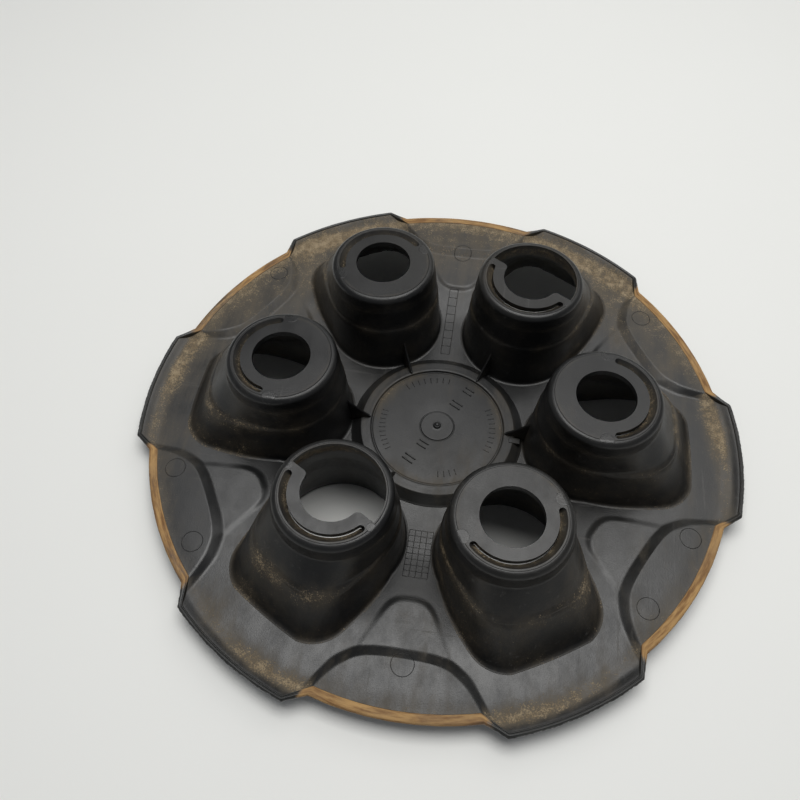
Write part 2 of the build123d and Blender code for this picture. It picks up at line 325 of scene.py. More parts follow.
def plastic(name, base=(0.0105, 0.0108, 0.0110), rough=0.40, dust_all=0.06, rust=False, streaks=0.5, spec=0.5,
            film_share=0.80):
    """Black moulded nylon: fine spark texture, handling scuffs, and road dust where the dust mark says."""
    mat, nt, shader = new_material(name)
    g = Graph(nt)
    mottle = g.noise(34, 5, 0.6)
    blotch = g.noise(9, 3, 0.5)
    fine = g.noise(1500, 2, 0.5)
    pores = g.noise(3200, 1, 0.5)
    drag = g.noise(300, 4, 0.7, (1, 0.05, 1, 0.7))
    drag_b = g.noise(260, 4, 0.7, (0.06, 1, 1, -0.25))
    scuff = g.math("MULTIPLY", g.span(drag, 0.60, 0.70), g.span(g.noise(22, 2), 0.46, 0.62))
    scuff_b = g.math("MULTIPLY", g.span(drag_b, 0.61, 0.70), g.span(g.noise(17, 2), 0.50, 0.64))
    scuff = g.math("MAXIMUM", scuff, scuff_b)
    worn = g.mix(g.span(mottle, 0.35, 0.7), base, tuple(c * 1.6 for c in base))
    worn = g.mix(g.math("MULTIPLY", g.span(blotch, 0.42, 0.66), 0.30), worn, (0.026, 0.024, 0.020))
    worn = g.mix(g.math("MULTIPLY", scuff, 0.42 * streaks), worn, (0.09, 0.087, 0.082))

    dust_mark = g.attribute("dust")
    speck = g.noise(1300, 3, 0.8)
    clump = g.noise(210, 4, 0.7)
    wash = g.noise(30, 5, 0.65)
    level = g.math("ADD", g.math("MULTIPLY", dust_mark, 0.55), dust_all * 0.6)
    level = g.math("ADD", level, g.math("MULTIPLY", g.math("SUBTRACT", clump, 0.5), 0.55))
    level = g.math("ADD", level, g.math("MULTIPLY", g.math("SUBTRACT", wash, 0.5), 0.45))
    level = g.math("ADD", level, g.math("MULTIPLY", g.math("SUBTRACT", speck, 0.5), 1.35))
    grains = g.span(level, 0.40, 0.66)
    rub = g.noise(120, 5, 0.7, (1, 0.12, 1, 0.35))
    cloud = g.math("ADD", g.math("MULTIPLY", g.math("SUBTRACT", wash, 0.45), 1.1),
                   g.math("MULTIPLY", g.math("SUBTRACT", rub, 0.5), 1.0))
    film = g.math("MULTIPLY", g.span(g.math("ADD", dust_mark, cloud), 0.12, 1.05), film_share)
    tan = g.mix(g.span(clump, 0.3, 0.7), (0.20, 0.143, 0.080), (0.35, 0.275, 0.175))
    colour = g.mix(film, worn, (0.105, 0.084, 0.055))
    colour = g.mix(g.math("MULTIPLY", grains, 0.80), colour, tan)

    sheen = g.noise(120, 6, 0.75, (1, 0.6, 1, 0.9))
    uneven = g.math("ADD", g.math("MULTIPLY", mottle, 0.5), g.math("MULTIPLY", sheen, 0.5))
    rough_value = g.math("ADD", g.span(uneven, 0.36, 0.66, rough - 0.08, rough + 0.10),
                         g.math("MULTIPLY", grains, 0.35))
    rough_value = g.math("ADD", rough_value, g.math("MULTIPLY", scuff, 0.16 * streaks))
    rough_value = g.math("ADD", rough_value, g.math("MULTIPLY", film, 0.45), clamp=True)
    if rust:
        mark = g.attribute("rust")
        strip = g.along("run", "side", 9.0)
        lines = g.noise(55, 5, 0.7, place=strip)
        streak = g.noise(520, 4, 0.7)
        broad = g.noise(24, 5, 0.7, place=g.along("run", "side", 2.0))
        cover = g.math("ADD", g.math("MULTIPLY", mark, 1.35),
                       g.math("ADD", g.math("MULTIPLY", g.math("SUBTRACT", streak, 0.5), 0.45),
                              g.math("MULTIPLY", g.math("SUBTRACT", broad, 0.5), 0.9)))
        cover = g.math("ADD", cover, g.math("MULTIPLY", g.math("SUBTRACT", lines, 0.5), 0.8))
        cover = g.span(cover, 0.18, 0.88)
        ochre = g.mix(g.span(lines, 0.34, 0.64), (0.165, 0.080, 0.028), (0.43, 0.262, 0.105))
        ochre = g.mix(g.math("MULTIPLY", g.span(broad, 0.45, 0.7), 0.5), ochre, (0.25, 0.165, 0.09))
        colour = g.mix(cover, colour, ochre)
        rough_value = g.math("MAXIMUM", rough_value, g.math("MULTIPLY", cover, 0.85))
    relief = g.math("ADD", g.math("MULTIPLY", fine, 0.7), g.math("MULTIPLY", pores, 0.35))
    relief = g.math("ADD", relief, g.math("MULTIPLY", grains, 0.8))
    normal = g.bump(mottle, 0.12, 0.0012)
    normal = g.bump(scuff, 0.10 * streaks, 0.00012, normal)
    normal = g.bump(relief, 0.40, 0.00019, normal)
    g.link(colour, shader.inputs["Base Color"])
    g.link(rough_value, shader.inputs["Roughness"])
    g.link(normal, shader.inputs["Normal"])
    shader.inputs["IOR"].default_value = 1.45
    shader.inputs["Specular IOR Level"].default_value = spec
    return mat


floor_mat = plastic("nylon_floor", rough=0.36, spec=0.62, streaks=1.0)
socket_mat = plastic("nylon_socket", base=(0.0066, 0.0068, 0.0070), rough=0.36, dust_all=0.02, streaks=1.0,
                     film_share=0.42)
disc_mat = plastic("nylon_disc", base=(0.0088, 0.0090, 0.0091), rough=0.42, dust_all=0.03, streaks=0.4)
lip_mat = plastic("nylon_lip", base=(0.0115, 0.012, 0.0115), rough=0.34, dust_all=0.03, rust=True)
pin_mat = plastic("nylon_pins", base=(0.011, 0.0112, 0.0115), rough=0.27, dust_all=0.0, streaks=0.3)
mark_mat = plastic("nylon_marks", base=(0.010, 0.0102, 0.0104), rough=0.32, dust_all=0.02)


# ------------------------------------------------------------------ socket outlines
def arc3(p, q, s, n):
    """n points from p towards s along the circle through p, q and s."""
    (ax, ay), (bx, by), (cx, cy) = p, q, s
    d = 2 * (ax * (by - cy) + bx * (cy - ay) + cx * (ay - by))
    if abs(d) < 1e-9:
        t = np.linspace(0, 1, n, endpoint=False)[:, None]
        return (1 - t) * np.array(p) + t * np.array(s)
    aa, bb, cc = ax * ax + ay * ay, bx * bx + by * by, cx * cx + cy * cy
    ux = (aa * (by - cy) + bb * (cy - ay) + cc * (ay - by)) / d
    uy = (aa * (cx - bx) + bb * (ax - cx) + cc * (bx - ax)) / d
    r = math.hypot(ax - ux, ay - uy)
    a0, a1, a2 = (math.atan2(y - uy, x - ux) for x, y in (p, q, s))
    turn = (a2 - a0) % TAU
    if (a1 - a0) % TAU > turn:
        turn -= TAU
    t = a0 + turn * np.arange(n) / n
    return np.c_[ux + r * np.cos(t), uy + r * np.sin(t)]


STEP_POINTS = [32.0, (14.0, 31.0), (27.0, 28.3), (35.8, 22.4), (40.6, 13.0), (41.5, 0.0)]
LOW_POINTS = [32.5, (14.0, 31.8), (27.4, 29.0), (36.5, 22.8), (41.3, 13.2), (42.2, 0.0)]
FOOT_POINTS = [35.2, (20.0, 38.2), (44.0, 37.0), (55.6, 32.4), (61.0, 24.5), (61.8, 0.0)]
NECK_R, NECK_H = 30.7, 48.0
RING_R, RING_ROUND = 29.8, 3.6
LEDGE_H, BASE_H = 34.0, -1.0


def round_points(r):
    return [r] + [(r * math.cos(math.radians(t)), r * math.sin(math.radians(t))) for t in (68, 47, 33, 18, 0)]


def outline(points, grow=0.0):
    """Counter-clockwise loop round the stud axis, its tongue along +X."""
    r = points[0] + grow
    lean = [(0, 1), (0.35, 0.94), (0.8, 0.6), (1, 0.2), (1, 0)]
    q, a, m, e, n = [(x + grow * u, y + grow * v) for (x, y), (u, v) in zip(points[1:], lean)]

    def flip(p):
        return (p[0], -p[1])

    bows = [((0, -r), flip(q), flip(a)), (flip(a), flip(m), flip(e)), (flip(e), n, e), (e, m, a),
            (a, q, (0, r))]
    return np.vstack([arc3((0, r), (-r, 0), (0, -r), 84)] + [arc3(*bow, 22) for bow in bows])


def loop_normals(loop):
    t = np.roll(loop, -1, 0) - np.roll(loop, 1, 0)
    n = np.c_[t[:, 1], -t[:, 0]]
    return n / np.linalg.norm(n, axis=1, keepdims=True)


foot_loop, low_loop, step_loop = outline(FOOT_POINTS), outline(LOW_POINTS), outline(STEP_POINTS)
neck_loop = outline(round_points(NECK_R))
foot_in, low_in, step_in = (outline(p, -WALL) for p in (FOOT_POINTS, LOW_POINTS, STEP_POINTS))
neck_in = outline(round_points(NECK_R), -WALL)
LOOP_N = len(foot_loop)


def lower_wall(z, inner=False):
    """The ruled lower wall at heights z, one per loop point."""
    a, b = (foot_in, low_in) if inner else (foot_loop, low_loop)
    t = ((np.broadcast_to(z, LOOP_N) - BASE_H) / (LEDGE_H - BASE_H))[:, None]
    return a + (b - a) * t


def floor_under(loop, drop=0.0):
    return height(loop[:, 0] + STUD_R, loop[:, 1]) - drop


def meeting(inner=False, drop=0.0):
    """Where the wall meets the floor: plan loop and heights."""
    z = np.full(LOOP_N, 8.0)
    for _ in range(12):
        z = 0.5 * z + 0.5 * floor_under(lower_wall(z, inner), drop)
    return lower_wall(z, inner), z


base_loop, base_z = meeting()
under_loop, under_z = meeting(True, FLOOR_T)
FILLET = 1.7


def circle_loop(r):
    """A circle sampled at the same angles as the neck loop."""
    return neck_loop / NECK_R * r


def socket_rows():
    """Closed cross-section of a socket as rows of (plan loop, heights, dust)."""
    rows = []
    out = loop_normals(base_loop)
    foot_xy = base_loop + out * FILLET
    foot_z = floor_under(foot_xy)
    top_z = base_z + FILLET
    top_xy = lower_wall(top_z)
    rows.append((foot_xy + out * 0.3, foot_z - 0.15, 0.22))
    for i in range(7):
        t = i / 6
        xy = (1 - t) ** 2 * foot_xy + 2 * t * (1 - t) * base_loop + t * t * top_xy
        z = (1 - t) ** 2 * foot_z + 2 * t * (1 - t) * base_z + t * t * top_z
        rows.append((xy, z, 0.18 * (1 - t)))
    for t in np.linspace(0.12, 1, 9):
        z = top_z + (LEDGE_H - 0.35 - top_z) * t
        rows.append((lower_wall(z), z, 0.0))
    for t in (0.12, 0.35, 0.65, 0.88):
        rows.append((low_loop + (step_loop - low_loop) * t, LEDGE_H - 0.35 + 1.15 * t, 0.05))
    for t in (0.065, 0.2, 0.45, 0.7, 0.94, 1.0):
        z = LEDGE_H + (NECK_H - LEDGE_H) * t
        rows.append((step_loop + (neck_loop - step_loop) * t, z, 0.0))
    for t in (0.06, 0.5, 1.0):
        z = NECK_H + (SEAT - RING_ROUND - NECK_H) * t
        rows.append((circle_loop(NECK_R - 0.05 + (RING_R + 0.05 - NECK_R) * t), z, 0.0))
    for a in range(10, 91, 10):
        a = math.radians(a)
        z = SEAT - RING_ROUND + RING_ROUND * math.sin(a)
        rows.append((circle_loop(RING_R - RING_ROUND + RING_ROUND * math.cos(a)), z, 0.0))
    return rows


TOP_R = RING_R - RING_ROUND          # where the end plate's piece takes over


def inner_rows():
    rows = [(circle_loop(TOP_R), SEAT - PLATE_T, 0.8), (circle_loop(NECK_R - WALL), NECK_H, 0.5)]
    for t in (0.25, 0.6, 1.0):
        rows.append((neck_in + (step_in - neck_in) * t, NECK_H + (LEDGE_H - NECK_H) * t, 0.0))
    rows.append((low_in, LEDGE_H - 0.2, 0.0))
    for t in (0.3, 0.6, 0.85, 1.0):
        z = LEDGE_H + (under_z + 0.9 - LEDGE_H) * t
        rows.append((lower_wall(z, True), z, 0.0))
    out = loop_normals(under_loop)
    rows.append((under_loop + out * 0.25, under_z + 0.25, 0.1))
    rows.append((under_loop + out * 0.9, floor_under(under_loop + out * 0.9, FLOOR_T) - 0.02, 0.1))
    rows.append((under_loop + out * 1.9, floor_under(under_loop + out * 1.9, FLOOR_T) - 0.02, 0.1))
    return rows


def place(loop, angle):
    """A plan loop about the stud axis, turned to its socket's direction."""
    c, s = math.cos(math.radians(angle)), math.sin(math.radians(angle))
    x = loop[:, 0] + STUD_R
    return np.c_[c * x - s * loop[:, 1], s * x + c * loop[:, 1]]


def make_socket(k, angle):
    rows = socket_rows() + inner_rows()
    verts, dust = [], []
    turn = np.arctan2(neck_loop[:, 1], neck_loop[:, 0])
    for xy, z, d in rows:
        z = np.broadcast_to(z, LOOP_N)
        verts.append(np.c_[place(xy, angle), z])
        wave = 0.5 + 0.5 * np.sin(turn * 3 + k * 1.7) * np.cos(turn * 5 - k)
        low_band = np.exp(-((z - 14) / 8.0) ** 2) * 0.40 * wave + np.exp(-((z - 33) / 5.0) ** 2) * 0.44 * wave
        sides = np.abs(np.sin(turn)) ** 2 * (z < 50) * (z > 8) * 0.24
        outward = np.clip(np.cos(turn), 0, 1) * (z < 46) * (z > 8) * 0.12
        outward = outward + np.clip(np.cos(turn - 0.2), 0, 1) ** 5 * np.exp(-((z - 31) / 6.5) ** 2) * 0.34
        crown = np.exp(-((z - 50) / 3.5) ** 2) * 0.22 + 0.05
        dust.append(np.clip(d + low_band + sides + outward + crown, 0, 1))
    verts = np.vstack(verts)
    dust = np.concatenate(dust)
    faces = grid_faces(len(rows), LOOP_N)[:, ::-1]
    last = (len(rows) - 1) * LOOP_N
    j = np.arange(LOOP_N)
    n = (j + 1) % LOOP_N
    closing = np.stack([last + j, j, n, last + n], -1)[:, ::-1]
    return to_object(f"socket_{k}", verts, np.vstack([faces, closing]), socket_mat, f"nut_socket_{k}",
                     marks={"dust": dust})


# ------------------------------------------------------------------ end plates
PLATE_HOLE_R = 15.5
SLOT_IN, SLOT_OUT = 21.7, 25.4
SLOT_HALF = 75.0
SLOT_MID = (SLOT_IN + SLOT_OUT) / 2
SLOT_LEAN = 3.3                  # the slot's outer wall leans in this far over the plate's thickness
HOOK_ROUND = 2.6


def plate_ring():
    """(angle, plate's outer edge, ring's inner edge) round the plate, angles from the slot's middle."""
    mid, reach = SLOT_MID, (SLOT_OUT - SLOT_IN) / 2
    cap = math.degrees(reach / mid)
    ends = [SLOT_HALF + cap * math.sin(math.radians(t)) for t in (0, 20, 40, 55, 68, 78, 85, 90)]
    plain = list(np.arange(0, SLOT_HALF, 2.5)) + ends
    rest = [80.5, 81.8, 83.2, 84.6, 86.0, 87.2, 88.2, 89.0, 89.6, 90.0] + list(np.arange(92.5, 180.1, 2.5))
    angles = plain + rest
    angles = [-a for a in reversed(angles) if 0 < a < 180] + angles
    table = []
    for a in angles:
        beyond = abs(a) - SLOT_HALF
        if beyond <= 0:
            w = reach
        elif beyond < cap:
            w = math.sqrt(max(0.0, reach ** 2 - (math.radians(beyond) * mid) ** 2))
        else:
            w = 0.0
        table.append((a, mid - w, mid + w))
    return table


def plate_dust(r, below):
    """Dust on the plate's corners: most on the slot's outer wall, some on its inner one."""
    if r > SLOT_OUT - 0.1:
        return 0.85 if below else 0.3
    return 0.4 if below and r > SLOT_IN - 0.1 else 0.06


def make_plate(k, angle):
    """End plate with its C-shaped slot: a full spring ring, or on the clip sockets a half plate."""
    half = k in CLIP_SOCKETS
    facing = CLIP_DIR if half else angle
    table = plate_ring()
    cx, cy = place(np.array([[0.0, 0.0]]), angle)[0]
    verts, faces, dust = [], [], []
    index = {}

    top, low = SEAT, SEAT - PLATE_T

    def vertex(r, a, z):
        key = (round(r, 4), round(a % 360, 4), round(z, 4))
        if key not in index:
            index[key] = len(verts)
            t = math.radians(facing + a)
            at = r
            if z < top and SLOT_MID < r < SLOT_OUT + 0.05:
                at -= SLOT_LEAN * (r - SLOT_MID) / (SLOT_OUT - SLOT_MID)
            verts.append((cx + at * math.cos(t), cy + at * math.sin(t), z))
            dust.append(plate_dust(r, z < top))
        return index[key]

    def hole_edge(a):
        """Inner edge of the plate; the half plate's two corners are rounded."""
        run = (abs((a + 180) % 360 - 180) - 90) * math.pi / 180 * PLATE_HOLE_R + HOOK_ROUND
        if not half or run <= 0:
            return PLATE_HOLE_R
        return PLATE_HOLE_R + HOOK_ROUND - math.sqrt(max(0.0, HOOK_ROUND ** 2 - run ** 2))

    def block(a0, a1, in0, in1, out0, out1, walls):
        """A wedge of plate between two directions, with the sides named in walls."""
        n = 3
        r0 = [in0 + (out0 - in0) * i / n for i in range(n + 1)]
        r1 = [in1 + (out1 - in1) * i / n for i in range(n + 1)]
        for p0, q0, p1, q1 in zip(r0, r0[1:], r1, r1[1:]):
            faces.append([vertex(p0, a0, top), vertex(q0, a0, top), vertex(q1, a1, top), vertex(p1, a1, top)])
            faces.append([vertex(p0, a0, low), vertex(p1, a1, low), vertex(q1, a1, low), vertex(q0, a0, low)])
        if "in" in walls:
            faces.append([vertex(in0, a0, top), vertex(in1, a1, top), vertex(in1, a1, low),
                          vertex(in0, a0, low)])
        if "out" in walls:
            faces.append([vertex(out0, a0, low), vertex(out1, a1, low), vertex(out1, a1, top),
                          vertex(out0, a0, top)])
        for side, a, r in (("start", a0, r0), ("end", a1, r1)):
            if side in walls:
                for p, q in zip(r, r[1:]):
                    quad = [vertex(p, a, top), vertex(p, a, low), vertex(q, a, low), vertex(q, a, top)]
                    faces.append(quad if side == "start" else quad[::-1])

    mid = SLOT_MID
    pairs = list(zip(table, table[1:] + [(table[0][0] + 360, *table[0][1:])]))
    for (a0, in0, out0), (a1, in1, out1) in pairs:
        centre = (a0 + a1) / 2
        solid = in0 > mid - 1e-6 and in1 > mid - 1e-6
        if half and not -90 < centre < 90:
            wall = SLOT_OUT + 0.2
            block(a0, a1, wall, wall, TOP_R, TOP_R, ("in",))
            continue
        start = "start" if half and abs(a0 + 90) < 1e-6 else ""
        end = "end" if half and abs(a1 - 90) < 1e-6 else ""
        if solid:
            block(a0, a1, hole_edge(a0), hole_edge(a1), mid, mid, ("in", start, end))
            block(a0, a1, mid, mid, TOP_R, TOP_R, (start, end))
        else:
            block(a0, a1, PLATE_HOLE_R, PLATE_HOLE_R, in0, in1, ("in", "out"))
            block(a0, a1, out0, out1, TOP_R, TOP_R, ("in",))
    clean = []
    for f in faces:
        g = [v for i, v in enumerate(f) if v != f[i - 1]]
        if len(g) > 2:
            clean.append(g)
    node = f"nut_clip_{k}" if half else f"end_ring_{k}"
    plate = to_object(f"end_plate_{k}", verts, clean, socket_mat, node, marks={"dust": dust})
    bevel = plate.modifiers.new("edge", "BEVEL")
    bevel.width, bevel.segments, bevel.harden_normals = 0.5 * MM, 3, True
    bevel.limit_method, bevel.angle_limit = "ANGLE", math.radians(42)


def ring_top(r):
    """Height of the ring's upper surface at a distance from its stud axis."""
    over = np.clip(r - TOP_R, 0, RING_ROUND - 0.02)
    return SEAT - RING_ROUND + np.sqrt(RING_ROUND ** 2 - over ** 2)


def make_pins(k, angle):
    """The smooth round marks of two ejector pins, just past the ends of the slot."""
    facing = CLIP_DIR if k in CLIP_SOCKETS else angle
    cx, cy = place(np.array([[0.0, 0.0]]), angle)[0]
    rings = [(0.0, 0.05), (1.2, 0.05), (2.4, 0.05), (3.3, 0.05), (3.52, 0.045), (3.62, 0.015), (3.68, -0.06),
             (3.4, -0.5), (0.0, -0.5)]
    n = 40
    t = np.arange(n) / n * TAU
    verts, faces = [], []
    at, share = (84.2, 0.62) if k in CLIP_SOCKETS else (89, 1.0)
    for way in (-1, 1):
        a = math.radians(facing + way * at)
        start = len(verts)
        for rho, lift in rings:
            u, v = 26.0 + share * rho * np.cos(t), share * rho * np.sin(t)
            z = ring_top(np.hypot(u, v)) + lift
            x, y = cx + u * math.cos(a) - v * math.sin(a), cy + u * math.sin(a) + v * math.cos(a)
            verts += np.c_[x, y, z].tolist()
        faces += grid_faces(len(rings), n, start=start).tolist()
    to_object(f"pin_marks_{k}", verts, faces, pin_mat, marks={"dust": np.full(len(verts), 0.04)})


for k, angle in SOCKET_ANGLE.items():
    make_socket(k, angle)
    make_plate(k, angle)
    make_pins(k, angle)


# ------------------------------------------------------------------ floor of the dish
def dust_at(x, y):
    """How much road dust lies on the floor, from the shapes that catch it."""
    r, a = np.hypot(x, y), np.degrees(np.arctan2(y, x))
    lobe_off = np.abs((a + 30) % 60 - 30)
    u, v = valley_frame(x, y)
    in_valley = signed_distance(u, v, riser_top) > 0
    edge = 160.5 - 1.6 * np.sin(np.radians(a * 7))
    band = np.where(r > edge, np.exp(-((r - edge) / 3.4) ** 2), np.exp(-((r - edge) / 7.5) ** 2))
    d = 0.85 * band * (lobe_off < 15.5) * (0.72 + 0.28 * np.sin(np.radians(a * 9)))
    d += 0.40 * np.clip((r - 146) / 12, 0, 1) * in_valley
    far_side = np.clip(0.25 + np.cos(np.radians(a - 92)), 0, 1)
    d += 0.46 * far_side * np.clip((r - 88) / 40, 0, 1)
    d += 0.12 * np.clip((r - 110) / 25, 0, 1)
    return np.clip(d, 0, 1)


def hole_mask(x, y):
    """True inside the middle of a socket's wall, where the floor stops."""
    r, a = np.hypot(x, y), np.arctan2(y, x)
    off = (a + math.pi / 6) % (math.pi / 3) - math.pi / 6
    u, v = r * np.cos(off) - STUD_R, r * np.sin(off)
    loop = base_loop - loop_normals(base_loop) * 1.5
    inside = np.zeros(u.shape, bool)
    for (ax, ay), (bx, by) in zip(loop, np.roll(loop, -1, 0)):
        if ay != by:
            inside ^= ((ay > v) != (by > v)) & (u < (bx - ax) * (v - ay) / (by - ay) + ax)
    return inside


def make_floor():
    """One smooth height field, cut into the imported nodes' pieces so that no seam shows."""
    phi = np.arange(COLUMNS) * 360 / COLUMNS
    web_r = np.arange(FOOT_R, 127.6, 1.0)
    t = np.linspace(0, 1, 92)[:, None]
    outer = 128 + (lip_inner(phi)[None, :] - 128) * t
    radii = np.vstack([np.repeat(web_r[:, None], COLUMNS, 1), outer])
    rad = np.radians(phi)
    x, y = radii * np.cos(rad), radii * np.sin(rad)
    flat = x.ravel(), y.ravel()
    h = height(*flat)
    verts = np.c_[flat[0], flat[1], h]
    rows = len(radii)
    faces = grid_faces(rows, COLUMNS)
    normals = vertex_normals(verts, faces)
    dust = dust_at(*flat)

    centre = verts[faces].mean(1)
    u, v = valley_frame(centre[:, 0], centre[:, 1])
    a = np.degrees(np.arctan2(centre[:, 1], centre[:, 0]))
    r = np.hypot(centre[:, 0], centre[:, 1])
    valley = signed_distance(u, v, riser_foot) > 0
    lobe_u = r * np.cos(np.radians((a + 30) % 60 - 30))
    lobe = ~valley & (lobe_u > 125)
    keep = ~hole_mask(centre[:, 0], centre[:, 1])
    names = {}
    for key, angle in VALLEY_ANGLE.items():
        near = np.abs((a - angle + 180) % 360 - 180) <= 30
        names[f"valley_floor_{key}"] = valley & near
    for k, angle in SOCKET_ANGLE.items():
        near = np.abs((a - angle + 180) % 360 - 180) <= 30
        names[f"lobe_floor_{k}"] = lobe & near
    names["dish_web"] = ~valley & ~lobe
    for name, mask in names.items():
        part = faces[mask & keep]
        used, local = np.unique(part, return_inverse=True)
        local = local.reshape(part.shape)
        top = verts[used]
        n = len(used)
        low = top - [0, 0, FLOOR_T]
        edges = np.concatenate([local[:, [i, (i + 1) % 4]] for i in range(4)])
        key = np.sort(edges, 1)
        _, first, count = np.unique(key, axis=0, return_index=True, return_counts=True)
        rim = edges[first[count == 1]]
        walls = np.stack([rim[:, 1], rim[:, 0], rim[:, 0] + n, rim[:, 1] + n], -1)
        all_faces = np.vstack([local, local[:, ::-1] + n, walls])
        all_normals = np.vstack([normals[used], -normals[used]])
        all_dust = np.concatenate([dust[used], 0.15 * np.ones(n)])
        to_object(name + "_skin", np.vstack([top, low]), all_faces, floor_mat, name, normals=all_normals,
                  marks={"dust": all_dust})


make_floor()


# ------------------------------------------------------------------ rim lip
def make_lip():
    phi = np.arange(COLUMNS * 2) * 180 / COLUMNS
    inner, outer = lip_inner(phi), lip_outer(phi)
    off = np.abs((phi + 30) % 60 - 30)
    in_valley = np.clip((off - 13.4) / 1.6, 0, 1)
    rng = np.random.default_rng(5)
    ragged = 0.5 + 0.5 * noise1(len(phi), (37, 61, 97, 151, 233, 389), 3)
    ragged = ragged * (0.5 + 0.5 * rng.random(len(phi)))
    floor_h = height(inner * np.cos(np.radians(phi)), inner * np.sin(np.radians(phi)))
    lobe_profile = [(-0.02, None), (0.03, 13.42), (0.10, 13.72), (0.20, 13.74), (0.30, 13.30), (0.36, 13.26),
                    (0.46, 13.66), (0.60, 13.68), (0.74, 13.30), (0.86, 12.95), (0.97, 12.80), (1.0, 12.55),
                    (1.0, 11.6), (0.94, 11.25)]
    valley_profile = [(-0.02, None), (0.02, 12.86), (0.05, 13.30), (0.10, 13.38), (0.22, 13.36), (0.38, 13.42),
                      (0.52, 13.52), (0.66, 13.60), (0.80, 13.55), (0.90, 13.30), (0.97, 12.85), (1.0, 12.4),
                      (1.0, 11.7), (0.94, 11.25)]
    verts, rust, dust, run, side = [], [], [], [], []
    for i, ((tl, zl), (tv, zv)) in enumerate(zip(lobe_profile, valley_profile)):
        t = tl + (tv - tl) * in_valley
        r = inner + (outer - inner) * t
        if t.max() > 0.8:
            r = r - (0.12 + 0.55 * ragged * (1 - 0.7 * in_valley)) * np.clip((t - 0.8) / 0.2, 0, 1)
        z = floor_h - 0.08 if zl is None else zl + (zv - zl) * in_valley
        z = z + 0.05 * noise1(len(phi), (23, 47, 71), 11 + i) * (i > 0)
        verts.append(np.c_[r * np.cos(np.radians(phi)), r * np.sin(np.radians(phi)), z])
        weather = 0.88 + 0.12 * np.cos(np.radians(phi + 25))
        patches = 0.78 + 0.22 * noise1(len(phi), (5, 9, 17), 7)
        rust.append(in_valley * weather * (1.0 if 2 <= i <= 12 else 0.35) * patches)
        dust.append(np.full(len(phi), 0.30 if i < 2 else 0.08) + 0.20 * in_valley)
        run.append(np.radians(phi) * 0.16)
        side.append(np.full(len(phi), i * 0.0006))
    under = floor_h - FLOOR_T
    edge_low = 11.2
    for t in (0.5, 0.0):
        r = inner + (outer - inner) * t
        z = np.minimum(under, edge_low) if t == 0 else np.full(len(phi), edge_low)
        verts.append(np.c_[r * np.cos(np.radians(phi)), r * np.sin(np.radians(phi)), z])
        rust.append(0.2 * in_valley)
        dust.append(np.full(len(phi), 0.2))
        run.append(np.radians(phi) * 0.16)
        side.append(np.full(len(phi), 0.012))
    rows = len(verts)
    faces = grid_faces(rows, len(phi))
    last = (rows - 1) * len(phi)
    j = np.arange(len(phi))
    n = (j + 1) % len(phi)
    faces = np.vstack([faces, np.stack([last + j, last + n, n, j], -1)])
    to_object("rim_lip_skin", np.vstack(verts), faces, lip_mat, "rim_lip",
              marks={"rust": np.concatenate(rust), "run": np.concatenate(run), "side": np.concatenate(side),
                     "dust": np.clip(np.concatenate(dust), 0, 1)})


make_lip()


# ------------------------------------------------------------------ centre disc
def lathe(profile, columns, name, material, node, dust_of):
    """A closed turned piece. profile is (radius, height) from the axis out over the top and back below."""
    ang = np.linspace(0, TAU, columns, endpoint=False)
    verts, dust = [], []
    for r, z in profile:
        verts.append(np.c_[r * np.cos(ang), r * np.sin(ang), np.full(columns, z)])
        dust.append(dust_of(r, ang))
    faces = list(grid_faces(len(profile), columns))
    verts = np.vstack(verts)
    return to_object(name, verts, faces, material, node, marks={"dust": np.concatenate(dust)})


def rounded(points, radius, steps=4):
    """A profile with each inner corner rounded by about radius."""
    out = [points[0]]
    for p, q, s in zip(points, points[1:], points[2:]):
        p, q, s = Vector(p), Vector(q), Vector(s)
        k = min(radius, (p - q).length * 0.45, (s - q).length * 0.45)
        a, b = q + (p - q).normalized() * k, q + (s - q).normalized() * k
        for i in range(steps + 1):
            t = i / steps
            out.append(tuple((1 - t) ** 2 * a + 2 * t * (1 - t) * q + t * t * b))
    out.append(points[-1])
    return out


disc_top = rounded([(0.02, 8.5), (0.8, 8.5), (1.0, 7.9), (1.9, 7.6), (2.0, 6.55), (3.2, 6.45), (8.9, 6.55),
                    (9.3, 6.5), (9.55, 5.85), (9.95, 5.85), (10.2, FACE_H), (20, FACE_H), (30, FACE_H),
                    (36.9, FACE_H), (37.3, 5.75), (37.9, 5.75), (FACE_R, 6.95), (39.0, STEP_H + 0.1),
                    (41, STEP_H), (STEP_R - 0.3, STEP_H), (45.5, 5.6), (FOOT_R - 0.9, 3.0), (FOOT_R, FOOT_H)],
                   0.4)
disc_low = [(FOOT_R, 0.02), (48.2, 0.6), (43.5, 3.2), (42.0, 3.5), (30, 3.5), (15, 3.5), (0.02, 3.5)]


def disc_dust(r, ang):
    edge = np.exp(-((r - 36.0) / 2.6) ** 2) * 0.55 + np.exp(-((r - 43) / 2.5) ** 2) * 0.25
    return np.clip(edge * (0.6 + 0.4 * np.sin(3 * ang + 0.6)) + 0.05, 0, 1)


lathe(disc_top + disc_low, 360, "centre_disc_skin", disc_mat, "centre_disc", disc_dust)


